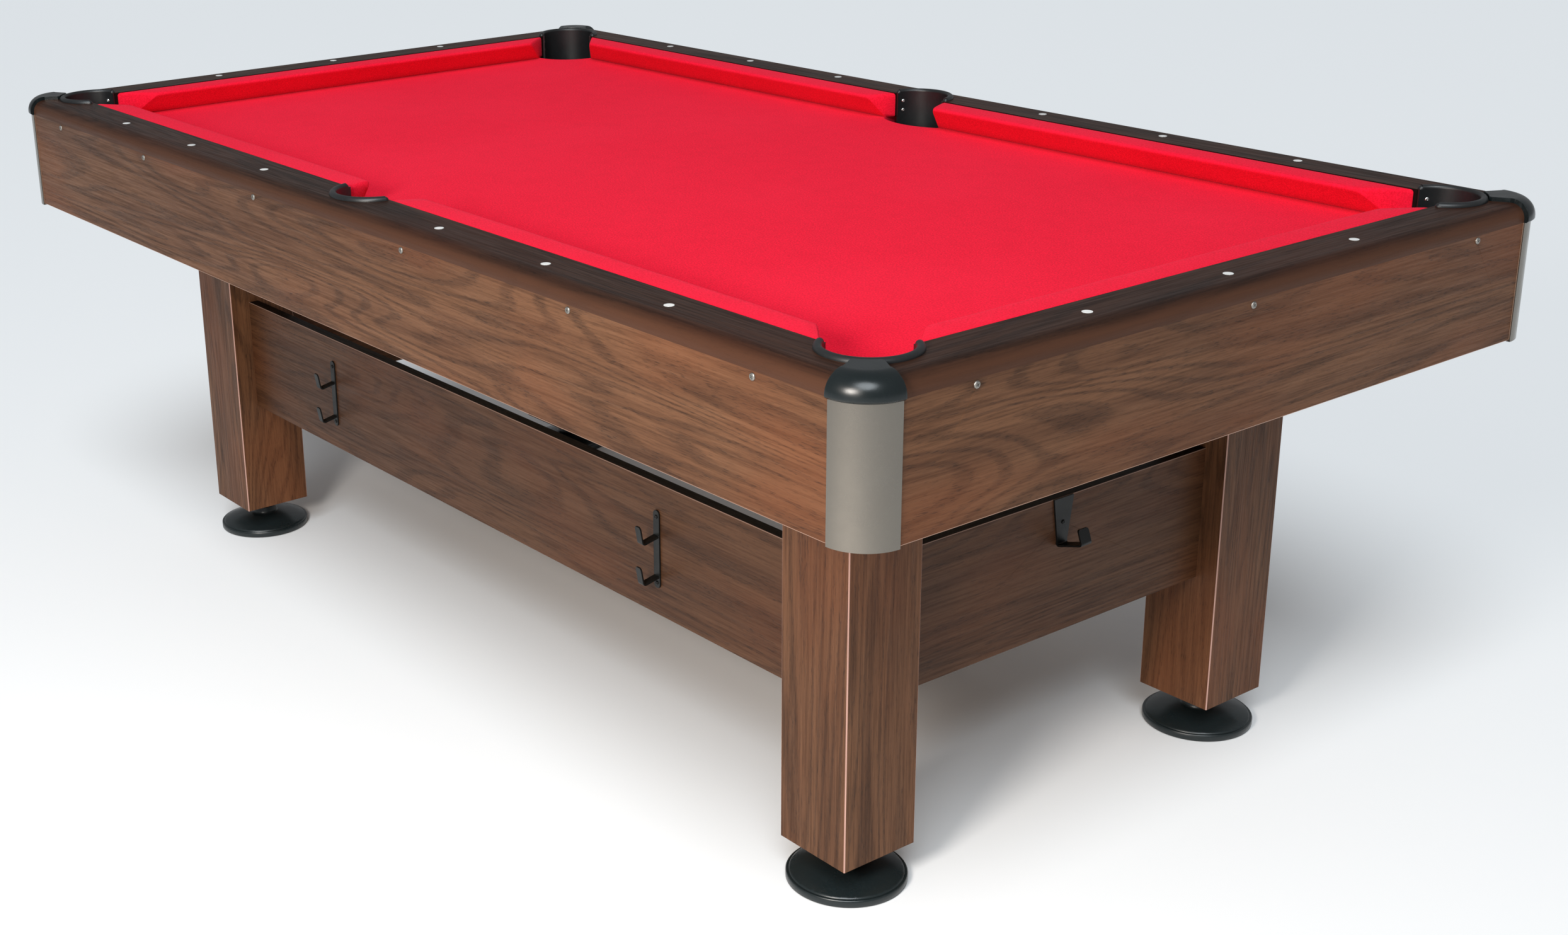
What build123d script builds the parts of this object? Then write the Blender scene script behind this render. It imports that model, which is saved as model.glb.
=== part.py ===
from build123d import *

import os
from math import cos, radians, sin

# Six-pocket pool table on four square legs. Millimetres, +Z up, origin on the floor under the
# middle of the table, X along the length, front side at -Y, right end at +X.

os.makedirs("parts", exist_ok=True)

# Cabinet
half_length = 1111.0        # middle of the table to the outer face of an end apron
half_width = 623.0
rail_top = 805.0
rail_width = 76.0
rail_edge = 24.0            # thickness of the rail over the apron
rail_round = 20.0           # bullnose on the outer top edge
block_reach = 70.0          # a rail's pocket block, each way from the pocket's axis
apron_thickness = 18.0
apron_bottom = 618.0
corner_size = 54.0          # square that the corner cover and cap fill

# Playing surface
cloth_top = 764.0
cloth_thickness = 1.5
board_thickness = 19.0
board_gap = 0.5
nose_inset = 124.0          # outer face to cushion nose
sight_pitch = 247.6
sight_inset = 39.0

# Pockets
pocket_inset = 98.0         # corner pocket centre from both outer faces
side_pocket_inset = 84.0
corner_throat = 50.0
side_throat = 53.0
liner_wall = 3.5
corner_wrap = 110.0         # the liner's wall reaches this far round each way from its back
side_wrap = 82.0
lip_setback = 6.0           # degrees that the lip stops short of the wall
corner_notch_radius = 76.0  # edge of the bed at a corner pocket
corner_notch_inset = 89.5
side_notch_radius = 124.0   # the same at a side pocket, a shallow arc
side_notch_inset = -6.0
side_notch_width = 132.0

# Legs, lower panels and feet
leg_outer_x = 874.0
leg_outer_y = 418.0
leg_size = 123.0
leg_bottom = 55.0
panel_setback = 36.0
panel_thickness = 18.0
panel_bottom = 255.5
panel_top = 452.0
beam_depth = 120.0
beam_width = 40.0
foot_radius = 80.0
stem_radius = 8.0
running_gap = 0.05

# Fasteners
apron_screw_z = rail_top - 30.5
long_apron_screws = [side * x for x in (212.0, 596.0, 937.0) for side in (-1, 1)]
end_apron_screws = [-462.0, 0.0, 462.0]
long_rail_bolts = [side * x for x in (330.0, 770.0) for side in (-1, 1)]
end_rail_bolts = [-210.0, 210.0]
rail_bolt_inset = 47.0
leg_bolt_z = {"long": 700.0, "cross": 660.0}

# Values that follow
board_top = cloth_top - cloth_thickness
board_bottom = board_top - board_thickness
apron_top = rail_top - rail_edge
leg_x = leg_outer_x - leg_size / 2
leg_y = leg_outer_y - leg_size / 2
leg_inner_x = leg_outer_x - leg_size
leg_inner_y = leg_outer_y - leg_size
pocket_x = half_length - pocket_inset
pocket_y = half_width - pocket_inset
side_pocket_y = half_width - side_pocket_inset
panel_face_x = leg_outer_x - panel_setback
panel_face_y = leg_outer_y - panel_setback
corners = {"front_right": (1, -1), "front_left": (-1, -1), "back_right": (1, 1), "back_left": (-1, 1)}


def save(part, name):
    part.label = name
    export_step(part, f"parts/{name}.step")


def write_corners(part, name):
    """Write the front right piece and its mirror images at the other three corners."""
    for corner, (sign_x, sign_y) in corners.items():
        with BuildPart() as piece:
            add(part)
            if sign_x < 0:
                mirror(about=Plane.YZ, mode=Mode.REPLACE)
            if sign_y > 0:
                mirror(about=Plane.XZ, mode=Mode.REPLACE)
        save(piece.part, f"{name}_{corner}")


def write_opposite(part, names, about):
    """Write a piece and its mirror image on the other side of the table."""
    save(part, names[0])
    with BuildPart() as piece:
        add(part)
        mirror(about=about, mode=Mode.REPLACE)
    save(piece.part, names[1])


# Bed: board and cloth


def bed_sheet(z, thickness, name):
    """A sheet with open notches at the six pockets, so that nothing stands under a pocket's mouth."""
    edge = apron_thickness + board_gap
    square = rail_width - 1.0
    with BuildPart() as sheet:
        with BuildSketch(Plane.XY.offset(z)):
            Rectangle(2 * (half_length - edge), 2 * (half_width - edge))
            with Locations(*[(x * half_length, y * half_width) for x in (-1, 1) for y in (-1, 1)]):
                Rectangle(2 * square, 2 * square, mode=Mode.SUBTRACT)
            notch_x = half_length - corner_notch_inset
            notch_y = half_width - corner_notch_inset
            with Locations(*[(x * notch_x, y * notch_y) for x in (-1, 1) for y in (-1, 1)]):
                Circle(corner_notch_radius, mode=Mode.SUBTRACT)
            with BuildSketch(mode=Mode.PRIVATE) as mouths:
                with Locations(*[(0, y * (half_width - side_notch_inset)) for y in (-1, 1)]):
                    Circle(side_notch_radius)
                Rectangle(side_notch_width, 3 * half_width, mode=Mode.INTERSECT)
            add(mouths.sketch, mode=Mode.SUBTRACT)
        extrude(amount=thickness)
        with BuildSketch(Plane.XY.offset(z)):
            with Locations(*rail_bolt_places()):
                Circle(4.5)
        extrude(amount=thickness, mode=Mode.SUBTRACT)
    save(sheet.part, name)


def rail_bolt_places():
    y = half_width - rail_bolt_inset
    x = half_length - rail_bolt_inset
    places = [(bolt, side * y) for bolt in long_rail_bolts for side in (-1, 1)]
    return places + [(side * x, bolt) for bolt in end_rail_bolts for side in (-1, 1)]


bed_sheet(board_bottom, board_thickness, "bed_board")
bed_sheet(board_top, cloth_thickness, "bed_cloth")


# Rails, aprons and cushions. Each is drawn as a front piece, along X with its outer face at -Y.


def rail(half_span, face, screws, bolts, sights, side_pocket):
    """A rail with its bullnose, pocket cut-outs, sight recesses, screw and bolt holes."""
    shoulder = -face + apron_thickness
    inner = -face + rail_width
    with BuildPart() as piece:
        with BuildSketch(Plane.YZ):
            with BuildLine():
                Polyline((-face, rail_top - rail_round), (-face, apron_top), (shoulder, apron_top),
                         (shoulder, cloth_top), (inner, cloth_top), (inner, rail_top),
                         (-face + rail_round, rail_top))
                RadiusArc((-face + rail_round, rail_top), (-face, rail_top - rail_round), -rail_round)
            make_face()
        extrude(amount=half_span - corner_size, both=True)
        with BuildSketch(Plane.XY.offset(cloth_top)):
            with Locations(*[(x * (half_span - pocket_inset), -face + pocket_inset) for x in (-1, 1)]):
                Circle(corner_throat + liner_wall + 0.5)
            if side_pocket:
                with Locations((0, -face + side_pocket_inset)):
                    Circle(side_throat + liner_wall + 0.5)
            for end in (-1, 1):
                tip = end * (half_span - corner_size)
                with BuildLine():
                    Polyline((tip, -face + corner_size), (tip, -face + 90),
                             (tip - end * (90 - corner_size), -face + 90), close=True)
                make_face()
        extrude(amount=rail_top - cloth_top, mode=Mode.SUBTRACT)
        with BuildSketch(Plane.XY.offset(rail_top)):
            with Locations(*[(x, -face + sight_inset) for x in sights]):
                Circle(6.5)
        extrude(amount=-3.0, mode=Mode.SUBTRACT)
        with BuildSketch(Plane.XZ.offset(-shoulder)):
            with Locations(*[(x, apron_screw_z) for x in screws]):
                Circle(2.1)
        extrude(amount=-26.0, mode=Mode.SUBTRACT)
        with BuildSketch(Plane.XY.offset(cloth_top)):
            with Locations(*[(x, -face + rail_bolt_inset) for x in bolts]):
                Circle(4.1)
        extrude(amount=28.0, mode=Mode.SUBTRACT)
    return piece.part


def apron(half_span, face, screws):
    """An apron board, chamfered along its outer bottom edge and drilled for its screws."""
    with BuildPart() as piece:
        with BuildSketch(Plane.XY.offset(apron_bottom)):
            with Locations((0, -face + apron_thickness / 2)):
                Rectangle(2 * (half_span - corner_size), apron_thickness)
        extrude(amount=apron_top - apron_bottom)
        chamfer(piece.faces().sort_by(Axis.Y)[0].edges().sort_by(Axis.Z)[0], length=1.5)
        with BuildSketch(Plane.XZ.offset(face)):
            with Locations(*[(x, apron_screw_z) for x in screws]):
                Circle(2.3)
        extrude(amount=-apron_thickness, mode=Mode.SUBTRACT)
    return piece.part


def cushion(face, wood_ends, nose_ends):
    """A cushion: flat top, rounded nose, undercut front, ends angled towards the pockets."""
    wood = -face + rail_width
    nose = -face + nose_inset
    with BuildPart() as piece:
        with BuildSketch(Plane.YZ):
            with BuildLine():
                Polyline((nose - 3.5, rail_top - 1.6), (wood, rail_top - 0.5), (wood, cloth_top),
                         (wood + 19, cloth_top), (nose - 1.6, rail_top - 8.5))
                ThreePointArc((nose - 1.6, rail_top - 8.5), (nose, rail_top - 4.6), (nose - 3.5, rail_top - 1.6))
            make_face()
        extrude(amount=2 * half_length, both=True)
        with BuildSketch(Plane.XY.offset(cloth_top)):
            with BuildLine():
                Polyline((wood_ends[0], wood), (wood_ends[1], wood), (nose_ends[1], nose + 1),
                         (nose_ends[0], nose + 1), close=True)
            make_face()
        extrude(amount=rail_top - cloth_top, mode=Mode.INTERSECT)
    return piece.part


def sawn(part, cuts):
    """The blocks that a rail is glued up from, end to end, with a joint at each X in cuts."""
    ends = [-2 * half_length, *cuts, 2 * half_length]
    blocks = []
    for left, right in zip(ends, ends[1:]):
        with BuildPart() as block:
            add(part)
            with Locations(((left + right) / 2, 0, 0)):
                Box(right - left, 4 * half_length, 4 * rail_top, mode=Mode.INTERSECT)
        blocks.append(block.part)
    return blocks


def write_blocks(blocks, names, about):
    """Write a glued-up rail and its mirror image on the other side of the table."""
    save(Compound(children=blocks), names[0])
    save(Compound(children=[block.mirror(about) for block in blocks]), names[1])


def turned(part):
    """Turn a front piece to the right end."""
    with BuildPart() as piece:
        add(part, rotation=(0, 0, 90))
    return piece.part


long_sights = [side * n * sight_pitch for n in (1, 2, 3) for side in (-1, 1)]
end_sights = [-sight_pitch, 0.0, sight_pitch]
wood_end = 150.0            # cushion end at the wood and at the nose, from the rail's outer corner
nose_end = 208.0
side_wood_end = 57.0        # the same beside a side pocket, from the middle of the rail
side_nose_end = 78.0

long_rail = rail(half_length, half_width, long_apron_screws, long_rail_bolts, long_sights, True)
end_rail = rail(half_width, half_length, end_apron_screws, end_rail_bolts, end_sights, False)
long_joint = pocket_x - block_reach
end_joint = pocket_y - block_reach
write_blocks(sawn(long_rail, (-long_joint, -block_reach, block_reach, long_joint)),
             ("rail_front", "rail_back"), Plane.XZ)
write_blocks([turned(block) for block in sawn(end_rail, (-end_joint, end_joint))],
             ("rail_right", "rail_left"), Plane.YZ)
write_opposite(apron(half_length, half_width, long_apron_screws), ("apron_front", "apron_back"), Plane.XZ)
write_opposite(turned(apron(half_width, half_length, end_apron_screws)), ("apron_right", "apron_left"), Plane.YZ)
write_corners(cushion(half_width, (side_wood_end, half_length - wood_end),
                      (side_nose_end, half_length - nose_end)), "cushion")
write_opposite(turned(cushion(half_length, (wood_end - half_width, half_width - wood_end),
                              (nose_end - half_width, half_width - nose_end))),
               ("cushion_right", "cushion_left"), Plane.YZ)


# Pocket liners: a rounded lip on the rail, a wall round the back and a cup below the bed


lip_width = 10.5
cup_flange = 61.5           # rim of the cup, just under the bed board


def plane_across(x, y, degrees):
    """An upright plane from a pocket's axis outwards, at an angle from +X."""
    turn = radians(degrees)
    return Plane(origin=(x, y, 0), x_dir=(cos(turn), sin(turn), 0), z_dir=(sin(turn), -cos(turn), 0))


def liner(x, y, throat, wrap, facing):
    """A moulded pocket. facing is the direction of the liner's back, in degrees from +X."""
    axis = Axis((x, y, 0), (0, 0, 1))
    lip = throat + lip_width
    lip_wrap = wrap - lip_setback
    cup_bottom = 655.0
    with BuildPart() as piece:
        with BuildSketch(plane_across(x, y, facing - wrap)):
            with Locations((throat + liner_wall / 2, (rail_top + board_bottom - 4) / 2)):
                Rectangle(liner_wall, rail_top - board_bottom + 4)
        revolve(axis=axis, revolution_arc=2 * wrap)
        with BuildSketch(plane_across(x, y, facing - lip_wrap)):
            with BuildLine():
                Polyline((throat, rail_top + 1), (throat, rail_top - 2), (throat + liner_wall, rail_top - 2),
                         (throat + liner_wall, rail_top), (lip, rail_top))
                ThreePointArc((lip, rail_top), (lip - 1.8, rail_top + 4.4), (throat + 5, rail_top + 6))
                ThreePointArc((throat + 5, rail_top + 6), (throat + 1.2, rail_top + 4.6), (throat, rail_top + 1))
            make_face()
        revolve(axis=axis, revolution_arc=2 * lip_wrap)
        with BuildSketch(plane_across(x, y, facing)):
            with BuildLine():
                Polyline((0, cup_bottom), (throat - 18, cup_bottom))
                RadiusArc((throat - 18, cup_bottom), (throat, cup_bottom + 18), -18)
                Polyline((throat, cup_bottom + 18), (throat, board_bottom - 1), (cup_flange, board_bottom - 1),
                         (cup_flange, board_bottom - 4), (throat + liner_wall, board_bottom - 4),
                         (throat + liner_wall, cup_bottom + 18))
                RadiusArc((throat + liner_wall, cup_bottom + 18), (throat - 18, cup_bottom - liner_wall),
                          18 + liner_wall)
                Polyline((throat - 18, cup_bottom - liner_wall), (0, cup_bottom - liner_wall), (0, cup_bottom))
            make_face()
        revolve(axis=axis)
        for end in (-1, 1):
            angle = radians(facing + end * lip_wrap)
            with Locations((x + (throat + 5.2) * cos(angle), y + (throat + 5.2) * sin(angle), rail_top)):
                Sphere(4.9, arc_size1=0, align=(Align.CENTER, Align.CENTER, Align.MIN))
    return piece.part


write_corners(liner(pocket_x, -pocket_y, corner_throat, corner_wrap, -45), "pocket")
write_opposite(liner(0, -side_pocket_y, side_throat, side_wrap, -90),
               ("pocket_front_middle", "pocket_back_middle"), Plane.XZ)


# Corner covers and caps, drawn at the front right corner


def corner_point(along_x, along_y):
    """A point given by its distances in from the right and the front outer faces."""
    return (half_length - along_x, along_y - half_width)


def cover_outline(wall):
    """Quarter round of the corner cover, moved in from its outer skin by wall."""
    radius = corner_size + 1.5
    with BuildLine() as outline:
        RadiusArc(corner_point(corner_size - wall, corner_size - radius + wall),
                  corner_point(corner_size - radius + wall, corner_size - wall), -radius + 2 * wall)
        Polyline(corner_point(corner_size - radius + wall, corner_size - wall),
                 corner_point(corner_size - wall, corner_size - wall),
                 corner_point(corner_size - wall, corner_size - radius + wall))
    return outline.edges()


with BuildPart() as cover:
    with BuildSketch(Plane.XY.offset(apron_bottom - 2)):
        make_face(cover_outline(0.0))
        make_face(cover_outline(3.0), mode=Mode.SUBTRACT)
    extrude(amount=apron_top - apron_bottom + 2)
write_corners(cover.part, "corner_cover")

cap_skin = 6.0              # how far the cap stands off the rail and the cover
cap_radius = corner_size + cap_skin
cap_top = rail_top + cap_skin
cap_round = rail_round + cap_skin
cap_x = half_length - corner_size
cap_y = half_width - corner_size
wing = 17.0                 # how far the cap reaches over the end of a rail
cap_plane = Plane(origin=(cap_x, -cap_y, 0), x_dir=(0, -1, 0), z_dir=(-1, 0, 0))
crown = (cap_radius - cap_round, cap_top - cap_round)
with BuildPart() as cap_wing:
    with BuildSketch(cap_plane):
        with BuildLine():
            Polyline((crown[0], cap_top), (-wing, cap_top), (-wing, rail_top), (crown[0], rail_top))
            RadiusArc((crown[0], rail_top), (corner_size, crown[1]), rail_round)
            Polyline((corner_size, crown[1]), (cap_radius, crown[1]))
            RadiusArc((cap_radius, crown[1]), (crown[0], cap_top), -cap_round)
        make_face()
    extrude(amount=wing)
with BuildPart() as cap:
    with BuildSketch(cap_plane):
        with BuildLine():
            Polyline((crown[0], cap_top), (0, cap_top), (0, apron_top), (cap_radius - 2.5, apron_top),
                     (cap_radius, apron_top + 2.5), (cap_radius, crown[1]))
            RadiusArc((cap_radius, crown[1]), (crown[0], cap_top), -cap_round)
        make_face()
    revolve(axis=Axis((cap_x, -cap_y, 0), (0, 0, 1)), revolution_arc=90)
    add(cap_wing.part)
    add(cap_wing.part.mirror(Plane(origin=(half_length, -half_width, 0), z_dir=(1, 1, 0))))
    with BuildSketch(Plane.XY.offset(apron_top)):
        with BuildLine():
            Polyline(corner_point(-9, -9), corner_point(54, -9), corner_point(54, 6), corner_point(56, 22),
                     corner_point(67, 42), corner_point(67, 67), corner_point(42, 67), corner_point(22, 56),
                     corner_point(6, 54), corner_point(-9, 54), close=True)
        make_face()
    extrude(amount=cap_top - apron_top, mode=Mode.INTERSECT)
    with BuildSketch(Plane.XY.offset(rail_top)):
        with Locations((pocket_x, -pocket_y)):
            Circle(corner_throat + lip_width + 0.3)
    extrude(amount=cap_top - rail_top, mode=Mode.SUBTRACT)
    with BuildSketch(Plane(origin=(cap_x + 3, -cap_y - 3, 0), x_dir=(0, -1, 0), z_dir=(-1, 0, 0))):
        Polygon((0, apron_top), (corner_size - 4, apron_top), (corner_size - 4, apron_top + 15),
                (0, apron_top + 15), align=None)
    revolve(axis=Axis((cap_x + 3, -cap_y - 3, 0), (0, 0, 1)), revolution_arc=90, mode=Mode.SUBTRACT)
write_corners(cap.part, "corner_cap")


# Underframe: two long and two cross beams, half lapped, with the legs bolted against them

beam_bottom = board_bottom - beam_depth
long_beam_y = leg_inner_y - beam_width / 2
cross_beam_x = leg_inner_x - beam_width / 2


def beam_front():
    with BuildPart() as beam:
        with Locations((0, -long_beam_y, board_bottom - beam_depth / 2)):
            Box(2 * (half_length - apron_thickness - board_gap), beam_width, beam_depth)
        with Locations(*[(x * cross_beam_x, -long_beam_y, board_bottom - beam_depth / 4) for x in (-1, 1)]):
            Box(beam_width, beam_width, beam_depth / 2, mode=Mode.SUBTRACT)
        with BuildSketch(Plane.XZ.offset(leg_inner_y)):
            with Locations(*[(x * leg_x, leg_bolt_z["long"]) for x in (-1, 1)]):
                Circle(5.2)
        extrude(amount=-beam_width, mode=Mode.SUBTRACT)
    return beam.part


def beam_right():
    with BuildPart() as beam:
        with Locations((cross_beam_x, 0, board_bottom - beam_depth / 2)):
            Box(beam_width, 2 * (half_width - apron_thickness - board_gap), beam_depth)
        with Locations(*[(cross_beam_x, y * long_beam_y, beam_bottom + beam_depth / 4) for y in (-1, 1)]):
            Box(beam_width, beam_width, beam_depth / 2, mode=Mode.SUBTRACT)
        with BuildSketch(Plane.YZ.offset(leg_inner_x)):
            with Locations(*[(y * leg_y, leg_bolt_z["cross"]) for y in (-1, 1)]):
                Circle(5.2)
        extrude(amount=-beam_width, mode=Mode.SUBTRACT)
    return beam.part


write_opposite(beam_front(), ("beam_front", "beam_back"), Plane.XZ)
write_opposite(beam_right(), ("beam_right", "beam_left"), Plane.YZ)


# Legs, drawn at the front right corner, and the lower panels between them

insert_depth = 52.0
with BuildPart() as leg:
    with Locations((leg_x, -leg_y, (leg_bottom + board_bottom) / 2)):
        Box(leg_size, leg_size, board_bottom - leg_bottom)
    chamfer(leg.edges().filter_by(Axis.Z), length=1.2)
    with Locations(Plane((leg_x, -leg_y, leg_bottom), z_dir=(0, 0, -1))):
        CounterBoreHole(12.1, 20.1, 2.5, depth=insert_depth)
        Hole(stem_radius + 1, depth=insert_depth + 30)
    with BuildSketch(Plane.XZ.offset(leg_inner_y)):
        with Locations((leg_x, leg_bolt_z["long"])):
            Circle(5.1)
    extrude(amount=60.0, mode=Mode.SUBTRACT)
    with BuildSketch(Plane.YZ.offset(leg_inner_x)):
        with Locations((-leg_y, leg_bolt_z["cross"])):
            Circle(5.1)
    extrude(amount=60.0, mode=Mode.SUBTRACT)
write_corners(leg.part, "leg")

cue_hook_x = 450.0
hook_screw_depth = 14.0
cue_hook_screws = (403.0, 304.6)
rack_hook_screw = 417.0

with BuildPart() as panel_front:
    with Locations((0, -panel_face_y + panel_thickness / 2, (panel_bottom + panel_top) / 2)):
        Box(2 * leg_inner_x, panel_thickness, panel_top - panel_bottom)
    with BuildSketch(Plane.XZ.offset(panel_face_y)):
        with Locations(*[(x * cue_hook_x, z) for x in (-1, 1) for z in cue_hook_screws]):
            Circle(2.1)
    extrude(amount=-hook_screw_depth, mode=Mode.SUBTRACT)
with BuildPart() as panel_right:
    with Locations((panel_face_x - panel_thickness / 2, 0, (panel_bottom + panel_top) / 2)):
        Box(panel_thickness, 2 * leg_inner_y, panel_top - panel_bottom)
    with BuildSketch(Plane.YZ.offset(panel_face_x)):
        with Locations((0, rack_hook_screw)):
            Circle(2.1)
    extrude(amount=-hook_screw_depth, mode=Mode.SUBTRACT)
write_opposite(panel_front.part, ("lower_panel_front", "lower_panel_back"), Plane.XZ)
write_opposite(panel_right.part, ("lower_panel_right", "lower_panel_left"), Plane.YZ)


# Hooks of bent steel strip

strip = 2.5
cue_strip_width = 13.0
cue_strip_bottom, cue_strip_top = 296.6, 412.8
cue_arm_heights = (374.7, 314.5)
for name, x in {"cue_hook_right": cue_hook_x, "cue_hook_left": -cue_hook_x}.items():
    with BuildPart() as hook:
        with BuildSketch(Plane.XZ.offset(panel_face_y)):
            with Locations((x, (cue_strip_bottom + cue_strip_top) / 2)):
                SlotOverall(cue_strip_top - cue_strip_bottom, cue_strip_width, rotation=90)
            with Locations(*[(x, z) for z in cue_hook_screws]):
                Circle(2.4, mode=Mode.SUBTRACT)
        extrude(amount=strip)
        for height in cue_arm_heights:
            with BuildPart(mode=Mode.PRIVATE) as arm:
                with BuildSketch(Plane.YZ.offset(x)):
                    with BuildLine():
                        FilletPolyline((-panel_face_y - strip / 2, height), (-panel_face_y - 29, height - 6),
                                       (-panel_face_y - 34, height + 22), radius=4)
                    trace(line_width=strip)
                extrude(amount=6, both=True)
                with BuildSketch(Plane.XZ.offset(panel_face_y)):
                    with Locations((x, height)):
                        SlotOverall(46, 12, rotation=90)
                extrude(amount=60, mode=Mode.INTERSECT)
            add(arm.part)
    save(hook.part, name)

rack_lip = 9.75
with BuildPart() as rack_hook:
    with BuildSketch(Plane.YZ.offset(panel_face_x)):
        with BuildLine():
            Polyline((-19, panel_top), (19, panel_top), (rack_lip, 392), (rack_lip, 386),
                     (-rack_lip, 386), (-rack_lip, 392), close=True)
        make_face()
        with Locations((0, rack_hook_screw)):
            Circle(2.4, mode=Mode.SUBTRACT)
    extrude(amount=strip)
    with BuildPart(mode=Mode.PRIVATE) as shelf:
        with BuildSketch(Plane.XZ):
            with BuildLine():
                FilletPolyline((panel_face_x + strip / 2, 395), (panel_face_x + 1.5, 384),
                               (panel_face_x + 44, 397), (panel_face_x + 36, 418), radius=3)
            trace(line_width=strip)
        extrude(amount=rack_lip, both=True)
        with BuildSketch(Plane.YZ.offset(panel_face_x)):
            with Locations((0, 394)):
                RectangleRounded(2 * rack_lip, 48, 4)
        extrude(amount=60, mode=Mode.INTERSECT)
        with Locations((panel_face_x - 10, 0, 400)):
            Box(20, 60, 80, mode=Mode.SUBTRACT)
    add(shelf.part)
save(rack_hook.part, "rack_hook")


# Levelling feet: a swivel pad on a screwed stem that turns in an insert in the leg

collar_bottom, collar_top = 38.0, 46.0
head_bottom, head_top, head_radius = 14.0, 20.0, 12.0
with BuildPart() as foot:
    with BuildSketch(Plane(origin=(leg_x, -leg_y, 0), x_dir=(1, 0, 0), z_dir=(0, -1, 0))):
        with BuildLine():
            Polyline((0, 0), (foot_radius - 1, 0), (foot_radius, 1), (foot_radius, 9), (foot_radius - 1, 10),
                     (foot_radius - 4, 10), (foot_radius - 4.6, 11.6))
            ThreePointArc((foot_radius - 4.6, 11.6), (50, 20.5), (24, 25))
            Polyline((24, 25), (21, 36), (stem_radius + running_gap, 36),
                     (stem_radius + running_gap, head_top + 0.2), (head_radius + running_gap, head_top + 0.2),
                     (head_radius + running_gap, head_bottom - 0.2), (0, head_bottom - 0.2), (0, 0))
        make_face()
    revolve(axis=Axis((leg_x, -leg_y, 0), (0, 0, 1)))
write_corners(foot.part, "foot")

with BuildPart() as stem:
    with BuildSketch(Plane.XY.offset(head_bottom)):
        with Locations((leg_x, -leg_y)):
            Circle(head_radius)
    extrude(amount=head_top - head_bottom)
    with BuildSketch(Plane.XY.offset(head_bottom)):
        with Locations((leg_x, -leg_y)):
            Circle(stem_radius)
    extrude(amount=100.0)
    chamfer(stem.edges().sort_by(Axis.Z)[-1], length=1.5)
    with BuildSketch(Plane.XY.offset(collar_bottom)):
        with Locations((leg_x, -leg_y)):
            RegularPolygon(12.0, 6, major_radius=False)
    extrude(amount=collar_top - collar_bottom)
write_corners(stem.part, "foot_stem")

with BuildPart() as inserts:
    with BuildSketch(Plane.XY.offset(leg_bottom)):
        with Locations(*[(x * leg_x, y * leg_y) for x in (-1, 1) for y in (-1, 1)]):
            Circle(20.0)
            Circle(stem_radius + running_gap, mode=Mode.SUBTRACT)
    extrude(amount=2.5)
    with BuildSketch(Plane.XY.offset(leg_bottom)):
        with Locations(*[(x * leg_x, y * leg_y) for x in (-1, 1) for y in (-1, 1)]):
            Circle(12.0)
            Circle(stem_radius + running_gap, mode=Mode.SUBTRACT)
    extrude(amount=insert_depth - 1)
save(inserts.part, "leg_inserts")


# Sights and fasteners, one node for each kind


def on_sides(long_places, end_places):
    """Places and turns for a front piece repeated on both long sides and both ends."""
    places = [(Location((x, -half_width, 0))) for x in long_places]
    places += [Location((x, half_width, 0), (0, 0, 180)) for x in long_places]
    places += [Location((half_length, y, 0), (0, 0, 90)) for y in end_places]
    return places + [Location((-half_length, y, 0), (0, 0, -90)) for y in end_places]


def write_copies(part, places, name):
    """Write copies of one loose piece, drawn at the origin, as separate solids in one node."""
    group = Compound(children=[part.moved(place) for place in places])
    save(group, name)


with BuildPart() as sight:
    with BuildSketch(Plane.XY.offset(rail_top - 2.9)):
        with Locations((0, sight_inset)):
            Circle(6.4)
    extrude(amount=3.1)
write_copies(sight.part, on_sides(long_sights, end_sights), "sights")

with BuildPart() as apron_screw:
    with BuildSketch(Plane.XZ):
        with Locations((0, apron_screw_z)):
            Circle(4.5)
    extrude(amount=2.0)
    fillet(apron_screw.faces().sort_by(Axis.Y)[0].edges(), radius=1.6)
    with BuildSketch(Plane.XZ):
        with Locations((0, apron_screw_z)):
            Circle(2.0)
    extrude(amount=-42.0)
    with BuildSketch(Plane.XZ.offset(2.0)):
        with Locations((0, apron_screw_z)):
            Rectangle(4.6, 0.9, rotation=30)
            Rectangle(0.9, 4.6, rotation=30)
    extrude(amount=-1.1, mode=Mode.SUBTRACT)
write_copies(apron_screw.part, on_sides(long_apron_screws, end_apron_screws), "apron_screws")

with BuildPart() as pan_screw:
    with BuildSketch(Plane.XZ):
        Circle(3.0)
    extrude(amount=1.6)
    fillet(pan_screw.faces().sort_by(Axis.Y)[0].edges(), radius=1.1)
    with BuildSketch(Plane.XZ):
        Circle(2.0)
    extrude(amount=-13.5)
    with BuildSketch(Plane.XZ.offset(1.6)):
        Rectangle(3.2, 0.7)
        Rectangle(0.7, 3.2)
    extrude(amount=-0.9, mode=Mode.SUBTRACT)
hook_places = [Location((x * cue_hook_x, -panel_face_y - strip, z)) for x in (-1, 1) for z in cue_hook_screws]
hook_places.append(Location((panel_face_x + strip, 0, rack_hook_screw), (0, 0, 90)))
write_copies(pan_screw.part, hook_places, "hook_screws")

with BuildPart() as rail_bolt:
    with BuildSketch(Plane.XY.offset(board_bottom)):
        RegularPolygon(6.5, 6, major_radius=False)
    extrude(amount=-5.3)
    with BuildSketch(Plane.XY.offset(board_bottom)):
        Circle(4.0)
    extrude(amount=46.0)
write_copies(rail_bolt.part, [Location((x, y, 0)) for x, y in rail_bolt_places()], "rail_bolts")

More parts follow.
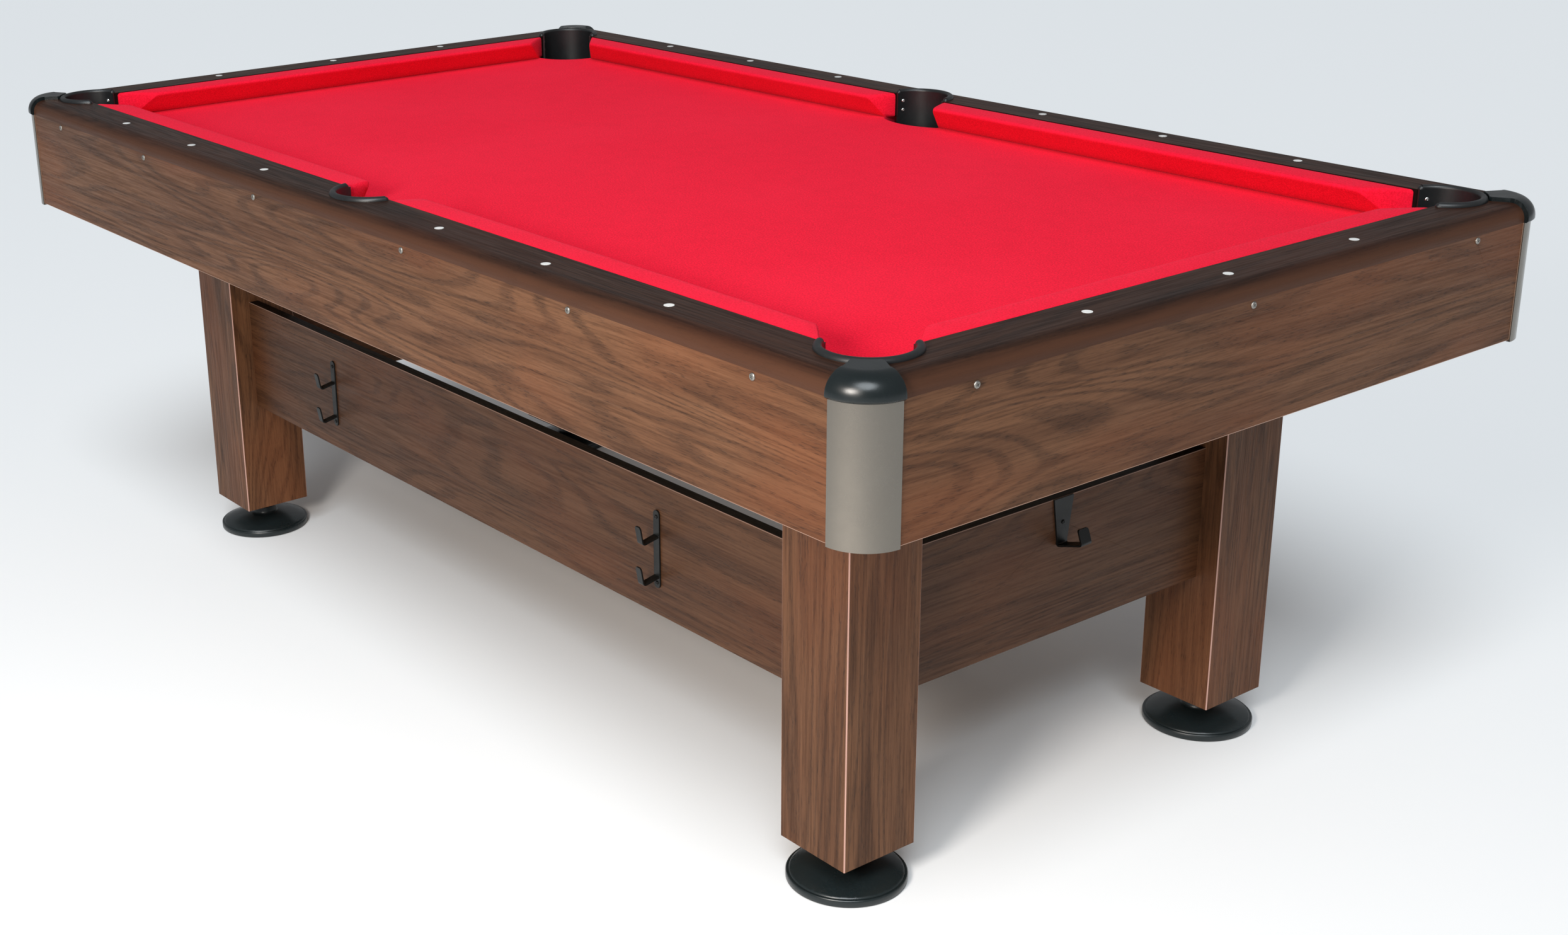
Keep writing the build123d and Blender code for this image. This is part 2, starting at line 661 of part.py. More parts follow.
with BuildPart() as leg_bolt:
    with BuildSketch(Plane.XZ):
        RegularPolygon(8.5, 6, major_radius=False)
    extrude(amount=6.4)
    with BuildSketch(Plane.XZ):
        Circle(5.0)
    extrude(amount=-(beam_width + 55.0))
long_face = leg_inner_y - beam_width
cross_face = leg_inner_x - beam_width
bolt_places = [Location((x * leg_x, long_face, leg_bolt_z["long"])) for x in (-1, 1)]
bolt_places += [Location((x * leg_x, -long_face, leg_bolt_z["long"]), (0, 0, 180)) for x in (-1, 1)]
bolt_places += [Location((cross_face, y * leg_y, leg_bolt_z["cross"]), (0, 0, -90)) for y in (-1, 1)]
bolt_places += [Location((-cross_face, y * leg_y, leg_bolt_z["cross"]), (0, 0, 90)) for y in (-1, 1)]
write_copies(leg_bolt.part, bolt_places, "leg_bolts")

with BuildPart() as bracket:
    with BuildSketch(Plane.XY.offset(320.0)):
        with BuildLine():
            Polyline((0, 0), (-30, 0), (-30, 3), (-3, 3), (-3, 30), (0, 30), close=True)
        make_face()
    extrude(amount=66.0)
back_y = panel_face_y - panel_thickness
back_x = panel_face_x - panel_thickness
with BuildPart() as bracket_pair:
    add(bracket.part.moved(Location((leg_inner_x, -back_y, 0))))
    add(bracket.part.moved(Location((back_x, -leg_inner_y, 0))))
with BuildPart() as brackets:
    add(bracket_pair.part)
    mirror(about=Plane.YZ)
    mirror(about=Plane.XZ)
save(brackets.part, "panel_brackets")
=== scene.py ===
from math import asin, atan2, cos, pi, radians, sin, sqrt

import bmesh
import bpy
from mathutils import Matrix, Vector
from mathutils.geometry import delaunay_2d_cdt


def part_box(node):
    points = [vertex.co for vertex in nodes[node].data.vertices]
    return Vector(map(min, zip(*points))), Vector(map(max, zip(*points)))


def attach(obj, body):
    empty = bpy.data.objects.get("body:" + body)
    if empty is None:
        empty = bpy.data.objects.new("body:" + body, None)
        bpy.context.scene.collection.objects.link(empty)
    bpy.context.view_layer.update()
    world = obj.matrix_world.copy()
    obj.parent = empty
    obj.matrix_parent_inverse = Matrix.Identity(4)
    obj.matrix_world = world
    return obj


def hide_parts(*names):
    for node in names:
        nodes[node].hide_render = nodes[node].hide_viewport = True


# Pool table. Metres, in the row frame: +X to the end with the rack hook, -Y the side with the cue hooks.

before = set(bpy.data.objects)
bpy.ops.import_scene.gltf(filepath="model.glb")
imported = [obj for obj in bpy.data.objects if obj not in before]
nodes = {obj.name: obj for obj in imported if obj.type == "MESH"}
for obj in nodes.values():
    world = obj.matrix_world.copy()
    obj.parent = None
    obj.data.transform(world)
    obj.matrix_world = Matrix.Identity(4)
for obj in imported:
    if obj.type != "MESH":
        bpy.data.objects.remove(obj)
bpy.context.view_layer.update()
scene = bpy.context.scene
scene.view_settings.view_transform = "Standard"


# Camera and lights

camera_data = bpy.data.cameras.new("camera")
camera_data.lens = 47.73
camera_data.sensor_width = 36.0
camera_data.shift_x = 0.104
camera_data.shift_y = -0.0146
camera_data.clip_end = 60.0
camera = bpy.data.objects.new("camera", camera_data)
camera.location = (2.5598, -1.9971, 1.4602)
camera.rotation_euler = (radians(70.295), radians(1.232), radians(53.152))
scene.collection.objects.link(camera)
scene.camera = camera


def area_light(name, place, target, size, power, colour=(1.0, 1.0, 1.0)):
    data = bpy.data.lights.new(name, "AREA")
    data.shape = "DISK"
    data.size = size
    data.energy = power
    data.color = colour
    light = bpy.data.objects.new(name, data)
    light.location = place
    light.rotation_euler = (Vector(target) - Vector(place)).to_track_quat("-Z", "Y").to_euler()
    scene.collection.objects.link(light)


area_light("key", (1.55, -2.55, 1.62), (0.70, -0.45, 0.55), 0.7, 64.0, (1.0, 0.93, 0.86))
sky = bpy.data.lights.new("sky", "SUN")
sky.energy = 2.6
sky.angle = radians(34)
sky.color = (0.88, 0.95, 1.0)
sky_light = bpy.data.objects.new("sky", sky)
sky_light.rotation_euler = (radians(38), 0.0, radians(45))
scene.collection.objects.link(sky_light)

world = bpy.data.worlds.new("studio")
world.use_nodes = True
world.node_tree.nodes["Background"].inputs["Color"].default_value = (0.95, 0.97, 1.0, 1.0)
world.node_tree.nodes["Background"].inputs["Strength"].default_value = 0.30
scene.world = world


# Materials


class Shader:
    """A material under construction: a Principled shader and the nodes that feed it."""

    def __init__(self, name, colour, roughness, specular=0.5, coat=0.0, coat_roughness=0.1, sheen=0.0,
                 sheen_roughness=0.5, sheen_tint=(1.0, 1.0, 1.0), metallic=0.0):
        self.material = bpy.data.materials.new(name)
        self.material.use_nodes = True
        self.tree = self.material.node_tree
        self.shader = self.tree.nodes["Principled BSDF"]
        self.set("Base Color", (*colour, 1.0))
        self.set("Roughness", roughness)
        self.set("Specular IOR Level", specular)
        self.set("Coat Weight", coat)
        self.set("Coat Roughness", coat_roughness)
        self.set("Sheen Weight", sheen)
        self.set("Sheen Roughness", sheen_roughness)
        self.set("Sheen Tint", (*sheen_tint, 1.0))
        self.set("Metallic", metallic)
        self.place = self.add("ShaderNodeTexCoord").outputs["Object"]

    def set(self, socket, value):
        self.shader.inputs[socket].default_value = value

    def add(self, kind, **settings):
        node = self.tree.nodes.new(kind)
        for key, value in settings.items():
            setattr(node, key, value)
        return node

    def link(self, source, target):
        self.tree.links.new(source, target)

    def feed(self, socket, source):
        self.link(source, self.shader.inputs[socket])

    def stretched(self, scale, offset=(0.0, 0.0, 0.0)):
        """The place on the object, scaled along each axis and then moved by offset."""
        node = self.add("ShaderNodeMapping")
        node.inputs["Scale"].default_value = scale
        node.inputs["Location"].default_value = offset
        self.link(self.place, node.inputs["Vector"])
        return node.outputs["Vector"]

    def noise(self, vector, scale=1.0, detail=2.0, roughness=0.5, distortion=0.0):
        node = self.add("ShaderNodeTexNoise")
        node.inputs["Scale"].default_value = scale
        node.inputs["Detail"].default_value = detail
        node.inputs["Roughness"].default_value = roughness
        node.inputs["Distortion"].default_value = distortion
        self.link(vector, node.inputs["Vector"])
        return node.outputs["Fac"]

    def math(self, operation, first, second=None):
        node = self.add("ShaderNodeMath", operation=operation)
        for slot, value in enumerate((first, second)):
            if value is None:
                continue
            if isinstance(value, (int, float)):
                node.inputs[slot].default_value = value
            else:
                self.link(value, node.inputs[slot])
        return node.outputs["Value"]

    def ramp(self, source, low, high, from_value=0.0, to_value=1.0):
        """source mapped from low..high to from_value..to_value with smooth ends, and held outside."""
        node = self.add("ShaderNodeMapRange", interpolation_type="SMOOTHSTEP")
        self.link(source, node.inputs["Value"])
        limits = {"From Min": low, "From Max": high, "To Min": from_value, "To Max": to_value}
        for key, value in limits.items():
            node.inputs[key].default_value = value
        return node.outputs["Result"]

    def mix(self, amount, first, second):
        """Two colours mixed by amount. Any of the three may be a value or a node's output."""
        node = self.add("ShaderNodeMix", data_type="RGBA")
        for key, value in ((0, amount), (6, first), (7, second)):
            if isinstance(value, tuple):
                node.inputs[key].default_value = (*value, 1.0)
            elif isinstance(value, (int, float)):
                node.inputs[key].default_value = value
            else:
                self.link(value, node.inputs[key])
        return node.outputs[2]

    def axes(self):
        """X, Y and Z on the object, which are the table's own, in metres."""
        node = self.add("ShaderNodeSeparateXYZ")
        self.link(self.place, node.inputs["Vector"])
        return [node.outputs[axis] for axis in "XYZ"]

    def bump(self, height, distance, strength=1.0, under=None):
        node = self.add("ShaderNodeBump")
        node.inputs["Distance"].default_value = distance
        node.inputs["Strength"].default_value = strength
        self.link(height, node.inputs["Height"])
        if under is not None:
            self.link(under, node.inputs["Normal"])
        self.feed("Normal", node.outputs["Normal"])
        return node.outputs["Normal"]


def grain_scale(along, lengthwise, across):
    """A texture's scale along the grain and across it."""
    return tuple(lengthwise if axis == along else across for axis in "XYZ")


def walnut(name, along, dark, middle, light, trim=None, offset=(0.0, 0.0, 0.0), roughness=0.46,
           specular=0.16):
    """Walnut foil: cathedral figure, fibres and short dark pores drawn out along the grain."""
    wood = Shader(name, middle, roughness, specular=specular, coat=0.02, coat_roughness=0.3)
    figure = wood.noise(wood.stretched(grain_scale(along, 0.9, 9.0), offset), 1.0, 1.5, 0.45, 0.5)
    rings = wood.math("SINE", wood.math("MULTIPLY", figure, 120.0))
    fibres = wood.noise(wood.stretched(grain_scale(along, 9.0, 330.0), offset), 1.0, 4.0, 0.62)
    bands = wood.noise(wood.stretched(grain_scale(along, 2.4, 30.0), offset), 1.0, 3.0, 0.6)
    pores = wood.noise(wood.stretched(grain_scale(along, 75.0, 900.0), offset), 1.0, 1.5, 0.6)
    flecks = wood.noise(wood.stretched(grain_scale(along, 30.0, 420.0), (1.9, 0.3, 4.4)), 1.0, 2.0, 0.6)
    patches = wood.noise(wood.stretched(grain_scale(along, 2.6, 7.0), (3.1, 1.7, 5.2)), 1.0, 2.0)
    colour = wood.mix(wood.ramp(bands, 0.3, 0.72), dark, light)
    colour = wood.mix(0.66, colour, middle)
    colour = wood.mix(wood.math("MULTIPLY", wood.ramp(rings, -0.1, 1.0), 0.38), colour, dark)
    colour = wood.mix(wood.ramp(fibres, 0.45, 0.7, 0.0, 0.42), colour, dark)
    colour = wood.mix(wood.ramp(fibres, 0.48, 0.25, 0.0, 0.34), colour, light)
    colour = wood.mix(wood.ramp(patches, 0.42, 0.7, 0.0, 0.42), colour,
                      (middle[0] * 1.35, middle[1] * 1.02, middle[2] * 0.82))
    thick = wood.ramp(rings, -0.6, 0.8, 0.45, 1.0)
    pore_mask = wood.math("MULTIPLY", wood.ramp(pores, 0.56, 0.66), thick)
    fleck_mask = wood.math("MULTIPLY", wood.ramp(flecks, 0.58, 0.70), thick)
    colour = wood.mix(wood.math("MULTIPLY", pore_mask, 0.42), colour, tuple(0.22 * c for c in dark))
    colour = wood.mix(wood.math("MULTIPLY", fleck_mask, 0.30), colour, tuple(0.4 * c for c in dark))
    if trim is not None:
        for mask, paint in trim(wood):
            colour = wood.mix(mask, colour, paint)
    wood.feed("Base Color", colour)
    wood.feed("Roughness", wood.ramp(fibres, 0.3, 0.75, roughness - 0.07, roughness + 0.12))
    wood.bump(wood.math("SUBTRACT", wood.math("MULTIPLY", fibres, 0.35), pore_mask), 0.00012, 0.6)
    return wood.material


def corner_line(wood):
    """The pale fold line on the four upright corners of each leg."""
    x, y, _ = wood.axes()
    off_x = wood.math("ABSOLUTE", wood.math("SUBTRACT", wood.math("ABSOLUTE", x), leg_x))
    off_y = wood.math("ABSOLUTE", wood.math("SUBTRACT", wood.math("ABSOLUTE", y), leg_y))
    edge = wood.math("GREATER_THAN", wood.math("ADD", off_x, off_y), leg_half * 2 - fold_line_width)
    return [(edge, fold_pink)]


def apron_trim(wood):
    """The pale core along an apron's lower edge, and a thin pale line at each of its ends."""
    x, y, z = wood.axes()
    low = wood.math("LESS_THAN", z, apron_low + core_depth)
    lines = []
    for place, end in ((x, outer_x - corner_size), (y, outer_y - corner_size)):
        distance = wood.math("ABSOLUTE", place)
        past = wood.math("GREATER_THAN", distance, end - end_line_width)
        before = wood.math("LESS_THAN", distance, end + end_margin)
        lines.append(wood.math("MULTIPLY", past, before))
    return [(low, pale_core), (wood.math("MAXIMUM", *lines), end_line)]


def rail_trim(wood):
    """Painted light on a rail's bullnose, lighter and redder than its shaded top, and painted shade,
    near-black, on the insides of its pocket cut-outs.
    """
    x, y, z = wood.axes()
    # Painted light: the bullnose is painted lighter than the shaded rail top.
    nose = wood.ramp(z, rail_top - 0.0005, rail_top - bullnose_depth, 0.0, 0.62)
    in_x = wood.math("LESS_THAN", wood.math("ABSOLUTE", x), outer_x - rail_reach)
    in_y = wood.math("LESS_THAN", wood.math("ABSOLUTE", y), outer_y - rail_reach)
    # Painted shade: near-black on the insides of the pocket cut-outs.
    under = wood.math("LESS_THAN", z, rail_top - 0.0002)
    inside = wood.math("MULTIPLY", wood.math("MULTIPLY", in_x, in_y), under)
    return [(nose, bullnose_painted_light), (inside, cut_out_painted_shade)]


def panel_trim(wood):
    """Painted shade, near-black, on the top edge of a lower panel under the apron, and a painted
    highlight, a thin light line along its outer arris.
    """
    x, y, z = wood.axes()
    top = wood.math("GREATER_THAN", z, panel_high - 0.0004)
    out_x = wood.math("GREATER_THAN", wood.math("ABSOLUTE", x), panel_out_x - arris_width)
    out_y = wood.math("GREATER_THAN", wood.math("ABSOLUTE", y), panel_out_y - arris_width)
    high = wood.math("GREATER_THAN", z, panel_high - arris_width)
    arris = wood.math("MULTIPLY", wood.math("MAXIMUM", out_x, out_y), high)
    return [(top, panel_top_painted_shade), (arris, panel_arris_painted_highlight)]


leg_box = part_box("leg_front_right")
leg_x = (leg_box[0].x + leg_box[1].x) / 2
leg_y = -(leg_box[0].y + leg_box[1].y) / 2
leg_half = (leg_box[1].x - leg_box[0].x) / 2
apron_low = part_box("apron_front")[0].z
rail_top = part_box("rail_front")[1].z
outer_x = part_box("apron_right")[1].x
outer_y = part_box("apron_back")[1].y
corner_size = outer_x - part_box("rail_front")[1].x
panel_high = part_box("lower_panel_front")[1].z
panel_out_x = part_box("lower_panel_right")[1].x
panel_out_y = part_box("lower_panel_back")[1].y

rail_reach = 0.0445         # pocket cut-outs lie further in than this from both outer faces
core_depth, bullnose_depth = 0.0015, 0.013
fold_line_width, end_line_width, arris_width = 0.0014, 0.0011, 0.0009
end_margin = 0.001

fold_pink = (0.46, 0.27, 0.22)
pale_core = (0.46, 0.27, 0.19)
end_line = (0.34, 0.21, 0.15)
# Painted light on each rail's bullnose, and painted shade on the insides of its pocket cut-outs.
bullnose_painted_light = (0.085, 0.036, 0.020)
cut_out_painted_shade = (0.006, 0.0035, 0.003)
# Painted shade on the lower panels' top edges, then a painted highlight along their outer arris.
panel_top_painted_shade = (0.004, 0.0032, 0.003)
panel_arris_painted_highlight = (0.26, 0.16, 0.12)
dark_foil = (0.026, 0.0105, 0.0048)
middle_foil = (0.122, 0.0500, 0.0215)
light_foil = (0.190, 0.0920, 0.0450)
apron_long = walnut("walnut_apron_long", "X", dark_foil, middle_foil, light_foil, apron_trim)
apron_end = walnut("walnut_apron_end", "Y", dark_foil, middle_foil, light_foil, apron_trim,
                   (1.3, 0.4, 2.2))
# Painted shade: the rails are the aprons' walnut foil, painted far darker where their tops fall in
# shade.
rail_dark_shaded = (0.0075, 0.0045, 0.0036)
rail_middle_shaded = (0.030, 0.0120, 0.0070)
rail_light_shaded = (0.060, 0.027, 0.0150)
rail_long = walnut("walnut_rail_long", "X", rail_dark_shaded, rail_middle_shaded, rail_light_shaded, rail_trim,
                   roughness=0.42, specular=0.10)
rail_end = walnut("walnut_rail_end", "Y", rail_dark_shaded, rail_middle_shaded, rail_light_shaded, rail_trim,
                  (0.7, 2.4, 1.1), 0.42, 0.10)
leg_wood = walnut("walnut_leg", "Z", dark_foil, middle_foil, light_foil, corner_line, (2.7, 0.6, 0.2))
# Painted shade: the lower panels are the apron foil darkened, as they stand in shade under the aprons.
panel_middle_shaded = tuple(0.66 * c for c in middle_foil)
panel_light_shaded = tuple(0.7 * c for c in light_foil)
panel_long = walnut("walnut_panel_long", "X", dark_foil, panel_middle_shaded, panel_light_shaded, panel_trim,
                    (5.1, 2.2, 0.9))
panel_end = walnut("walnut_panel_end", "Y", dark_foil, panel_middle_shaded, panel_light_shaded, panel_trim,
                   (0.3, 4.2, 1.9))


def softwood(name, along):
    """Plain softwood for the beams, with rings and fibres along the grain."""
    pine = Shader(name, (0.45, 0.3, 0.17), 0.7)
    rings = pine.noise(pine.stretched(grain_scale(along, 0.9, 34.0)), 1.0, 3.0, 0.55, 0.4)
    fibres = pine.noise(pine.stretched(grain_scale(along, 9.0, 420.0)), 1.0, 3.0)
    colour = pine.mix(pine.ramp(rings, 0.35, 0.65), (0.50, 0.35, 0.20), (0.36, 0.22, 0.11))
    colour = pine.mix(pine.ramp(fibres, 0.4, 0.75, 0.0, 0.4), colour, (0.26, 0.15, 0.08))
    pine.feed("Base Color", colour)
    pine.bump(fibres, 0.0002)
    return pine.material


def fibreboard():
    """The raw fibreboard of the bed, with specks and soft clouds."""
    board = Shader("fibreboard", (0.33, 0.22, 0.13), 0.85)
    specks = board.noise(board.place, 900.0, 3.0, 0.7)
    clouds = board.noise(board.place, 14.0, 3.0)
    colour = board.mix(board.ramp(specks, 0.35, 0.7), (0.36, 0.25, 0.155), (0.25, 0.165, 0.10))
    colour = board.mix(board.ramp(clouds, 0.4, 0.7, 0.0, 0.35), colour, (0.29, 0.19, 0.11))
    board.feed("Base Color", colour)
    board.bump(specks, 0.0002)
    return board.material


def cloth(name, colour, deep, pale):
    """Napped wool cloth: tufts, fine fibres and a little mottling."""
    wool = Shader(name, colour, 0.92, specular=0.05, sheen=0.10, sheen_roughness=0.4,
                  sheen_tint=(1.0, 0.25, 0.4))
    nap = wool.noise(wool.place, 1500.0, 3.0, 0.75)
    tufts = wool.noise(wool.place, 420.0, 3.0, 0.65)
    mottle = wool.noise(wool.place, 26.0, 4.0, 0.6)
    wide = wool.noise(wool.place, 2.4, 2.0)
    shade = wool.mix(wool.ramp(tufts, 0.32, 0.7), deep, colour)
    shade = wool.mix(wool.ramp(nap, 0.46, 0.72, 0.0, 0.6), shade, pale)
    shade = wool.mix(wool.ramp(mottle, 0.42, 0.68, 0.0, 0.16), shade, deep)
    shade = wool.mix(wool.ramp(wide, 0.4, 0.65, 0.0, 0.10), shade, pale)
    wool.feed("Base Color", shade)
    lower = wool.bump(tufts, 0.00035, 0.5)
    wool.bump(nap, 0.00022, 0.7, lower)
    return wool.material


def moulded(name, colour, roughness, specular=0.5, grit=0.5, coat=0.0, metallic=0.0, mottle=1.0):
    """Moulded or painted skin with a fine orange-peel grain."""
    skin = Shader(name, colour, roughness, specular=specular, coat=coat, coat_roughness=0.25,
                  metallic=metallic)
    grain = skin.noise(skin.place, 1300.0, 2.0, 0.6)
    smears = skin.noise(skin.place, 17.0, 3.0, 0.6)
    dust = skin.noise(skin.place, 240.0, 3.0, 0.7)
    dusty = tuple(min(1.0, c * 1.6 + 0.004) for c in colour)
    smeared = tuple(c * 0.72 for c in colour)
    tint = skin.mix(skin.ramp(dust, 0.45, 0.75, 0.0, 0.35 * mottle), colour, dusty)
    tint = skin.mix(skin.ramp(smears, 0.4, 0.7, 0.0, 0.25 * mottle), tint, smeared)
    skin.feed("Base Color", tint)
    skin.feed("Roughness", skin.ramp(smears, 0.3, 0.7, roughness - 0.05, roughness + 0.07))
    skin.bump(grain, 0.0001, grit)
    return skin.material


def plated(name, colour, roughness):
    """Zinc-plated steel with blotches and fine brushing."""
    zinc = Shader(name, colour, roughness, metallic=1.0)
    blotch = zinc.noise(zinc.place, 260.0, 4.0, 0.7)
    lines = zinc.noise(zinc.stretched((2200.0, 2200.0, 90.0)), 1.0, 2.0)
    dull = tuple(0.68 * c for c in colour)
    zinc.feed("Base Color", zinc.mix(zinc.ramp(blotch, 0.35, 0.7), colour, dull))
    zinc.feed("Roughness", zinc.ramp(blotch, 0.3, 0.7, roughness - 0.06, roughness + 0.14))
    zinc.bump(lines, 0.00005)
    return zinc.material


bed_felt = cloth("cloth_bed", (0.90, 0.0062, 0.0330), (0.60, 0.0034, 0.0180), (0.92, 0.024, 0.062))
cushion_felt = cloth("cloth_cushion", (0.88, 0.0080, 0.037), (0.62, 0.0044, 0.020), (0.92, 0.030, 0.070))
black_plastic = moulded("plastic_black", (0.0045, 0.0075, 0.0082), 0.26, 0.42, 0.3, mottle=0.4)
pocket_plastic = moulded("plastic_pocket", (0.0075, 0.0085, 0.0092), 0.40, 0.5, 0.9)
cover_plastic = moulded("plastic_cover", (0.205, 0.186, 0.160), 0.24, 0.8, 0.15, 0.0, 0.92, 0.15)
foot_plastic = moulded("plastic_foot", (0.0075, 0.0120, 0.0130), 0.31, 0.5, 0.3)
hook_paint = moulded("paint_hook", (0.0050, 0.0055, 0.0052), 0.42, 0.28, 0.6)
sight_plastic = moulded("plastic_sight", (0.80, 0.80, 0.78), 0.25, 0.5, 0.05, 0.3)
screw_metal = plated("steel_screw", (0.36, 0.34, 0.31), 0.42)
liner_screw = plated("steel_liner_screw", (0.80, 0.80, 0.78), 0.30)
zinc_metal = plated("steel_zinc", (0.55, 0.55, 0.52), 0.38)
stem_metal = plated("steel_stem", (0.22, 0.22, 0.21), 0.4)
raw_board = fibreboard()
beam_long = softwood("softwood_long", "X")
beam_cross = softwood("softwood_cross", "Y")

finishes = {
    "apron_front": apron_long, "apron_back": apron_long,
    "apron_right": apron_end, "apron_left": apron_end,
    "rail_front": rail_long, "rail_back": rail_long,
    "rail_right": rail_end, "rail_left": rail_end,
    "lower_panel_front": panel_long, "lower_panel_back": panel_long,
    "lower_panel_right": panel_end, "lower_panel_left": panel_end,
    "beam_front": beam_long, "beam_back": beam_long,
    "beam_right": beam_cross, "beam_left": beam_cross,
    "bed_board": raw_board, "sights": sight_plastic,
    "apron_screws": screw_metal, "hook_screws": hook_paint,
    "rail_bolts": zinc_metal, "leg_bolts": zinc_metal,
    "leg_inserts": zinc_metal, "panel_brackets": zinc_metal,
}
families = {
    "pocket": pocket_plastic, "corner_cap": black_plastic, "corner_cover": cover_plastic,
    "cue_hook": hook_paint, "rack_hook": hook_paint, "leg": leg_wood,
    "foot_stem": stem_metal, "foot": foot_plastic, "cushion": cushion_felt, "bed_cloth": bed_felt,
}
for name, node in nodes.items():
    family = next((key for key in families if name.startswith(key + "_") or name == key), None)
    material = finishes.get(name) or families[family]
    node.data.materials.clear()
    node.data.materials.append(material)


# Every CAD node keeps its shape. Caps, hooks and beams have slightly eased edges

eased = {"corner_cap": 0.0004, "cue_hook": 0.0004, "rack_hook": 0.0004, "beam": 0.0008}
for name, node in nodes.items():
    weld = node.modifiers.new("weld", "WELD")
    weld.merge_threshold = 0.000002
    width = next((eased[key] for key in eased if name.startswith(key)), None)
    if width is not None:
        bevel = node.modifiers.new("eased", "BEVEL")
        bevel.width = width
        bevel.segments = 2
        bevel.limit_method = "ANGLE"
        bevel.angle_limit = radians(38)
        bevel.harden_normals = False


# Bed cloth and cushions


def finished(name, mesh, material, body, *stood_for):
    """A new piece that rides body and stands for the given CAD nodes."""
    piece = bpy.data.objects.new(name, mesh)
    scene.collection.objects.link(piece)
    mesh.materials.append(material)
    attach(piece, body)
    if stood_for:
        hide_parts(*stood_for)
    return piece


def offset_outline(points, distance):
    """A closed anticlockwise outline moved outwards by distance, with mitred corners."""
    moved = []
    for here, point in enumerate(points):
        before = (point - points[here - 1]).normalized()
        after = (points[(here + 1) % len(points)] - point).normalized()
        normal = Vector((before.y + after.y, -before.x - after.x))
        moved.append(point + normal * (distance / (1.0 + before.dot(after))))
    return moved


class Shape:
    """A mesh under construction, with a flat position kept for each vertex to close rings by."""

    def __init__(self):
        self.bm = bmesh.new()
        self.verts = []
        self.flat = []

    def ring(self, places, flat):
        first = len(self.verts)
        for place, spot in zip(places, flat):
            self.verts.append(self.bm.verts.new(place))
            self.flat.append(spot)
        return list(range(first, len(self.verts)))

    def join(self, first, second):
        for i in range(len(first)):
            j = (i + 1) % len(first)
            self.bm.faces.new([self.verts[k] for k in (first[i], first[j], second[j], second[i])])

    def close(self, ring):
        """Fill a ring with triangles, laid out by its flat positions."""
        flat = [Vector(self.flat[i]) for i in ring]
        border = [list(range(len(ring)))]
        _, _, triangles, sources, _, _ = delaunay_2d_cdt(flat, [], border, 1, 1e-9)
        for triangle in triangles:
            self.bm.faces.new([self.verts[ring[sources[i][0]]] for i in triangle])

    def mesh(self, name):
        bmesh.ops.remove_doubles(self.bm, verts=self.bm.verts, dist=1e-6)
        bmesh.ops.recalc_face_normals(self.bm, faces=self.bm.faces)
        mesh = bpy.data.meshes.new(name)
        self.bm.to_mesh(mesh)
        self.bm.free()
        mesh.shade_smooth()
        return mesh


cloth_low, cloth_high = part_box("bed_cloth")
cloth_under = cloth_low.z
corner_radius, corner_inset = 0.076, 0.0895
side_radius, side_inset, side_half = 0.124, -0.006, 0.066
side_nick = 0.006           # where the fold starts at a side pocket, in from the cloth's edge
flap = 0.0145


def arc(centre, radius, start, end, steps):
    angles = [start + (end - start) * i / steps for i in range(steps + 1)]
    return [centre + radius * Vector((cos(angle), sin(angle))) for angle in angles]


def bed_outline():
    """The cloth's outline, anticlockwise, with True where it folds down over the board's edge."""
    corner = Vector((outer_x - corner_inset, outer_y - corner_inset))
    gap = atan2(sqrt(corner_radius ** 2 - (cloth_high.x - corner.x) ** 2), cloth_high.x - corner.x)
    swing = asin(side_half / side_radius)
    side = Vector((0.0, outer_y - side_inset))
    quarter = [(Vector((cloth_high.x, 0.0)), False)]
    quarter += [(point, True) for point in arc(corner, corner_radius, -gap, gap - 1.5 * pi, 60)]
    quarter[1] = (quarter[1][0], False)
    quarter[-1] = (quarter[-1][0], False)
    quarter.append((Vector((side_half, cloth_high.y)), False))
    quarter.append((Vector((side_half, cloth_high.y - side_nick)), True))
    quarter += [(point, True) for point in arc(side, side_radius, swing - pi / 2, -pi / 2, 20)]
    half = quarter + [(Vector((-point.x, point.y)), fold) for point, fold in quarter[-2:0:-1]]
    return half + [(Vector((-point.x, -point.y)), fold) for point, fold in half]


# From the flat top over the board's edge, down the flap and back up against the board: out, and height
fold_section = [(-0.002, 0.0), (0.0, 0.0), (0.0007, -0.0002), (0.0012, -0.0006), (0.0015, -0.0013),
                (0.0015, -flap), (0.0012, -flap - 0.0005), (0.0004, -flap - 0.0005), (0.0001, -flap),
                (0.0001, -0.0016), (-0.002, cloth_under - cloth_high.z)]
outline = bed_outline()
spots = [point for point, _ in outline]
sheet = Shape()
rings = []
for out, drop in fold_section:
    places = []
    for (point, fold), far in zip(outline, offset_outline(spots, out)):
        near = far if fold or out < 0 else point
        depth = drop if fold else max(drop, cloth_under - cloth_high.z)
        places.append((near.x, near.y, cloth_high.z + depth))
    rings.append(sheet.ring(places, [(place[0], place[1]) for place in places]))
for first, second in zip(rings, rings[1:]):
    sheet.join(first, second)
sheet.close(rings[0])
sheet.close(rings[-1])
cloth_mesh = sheet.mesh("bed_cloth_fitted")
cloth_piece = finished("bed_cloth_fitted", cloth_mesh, bed_felt, "table", "bed_cloth")


# Section of a cushion in millimetres: in from the wood, and up from the bed
cushion_section = [(0.0, 4.0), (0.3, 0.9), (1.5, 0.25), (10.0, 0.2), (17.6, 0.25), (18.9, 1.0),
                   (25.2, 8.0), (32.0, 16.0), (39.0, 24.5), (44.2, 30.4), (45.9, 32.4), (47.0, 34.0),
                   (47.5, 35.6), (47.1, 37.2), (45.9, 38.5), (44.1, 39.2), (41.0, 39.7), (34.0, 40.1),
                   (24.0, 40.4), (12.0, 40.5), (5.0, 40.4), (2.2, 40.0), (0.8, 39.2), (0.0, 37.6)]
nose_reach = 48.0
fold_radius = 0.0045
fold_shrink, fold_middle = 0.16, 15.0   # how far a cut end's section shrinks, and towards where


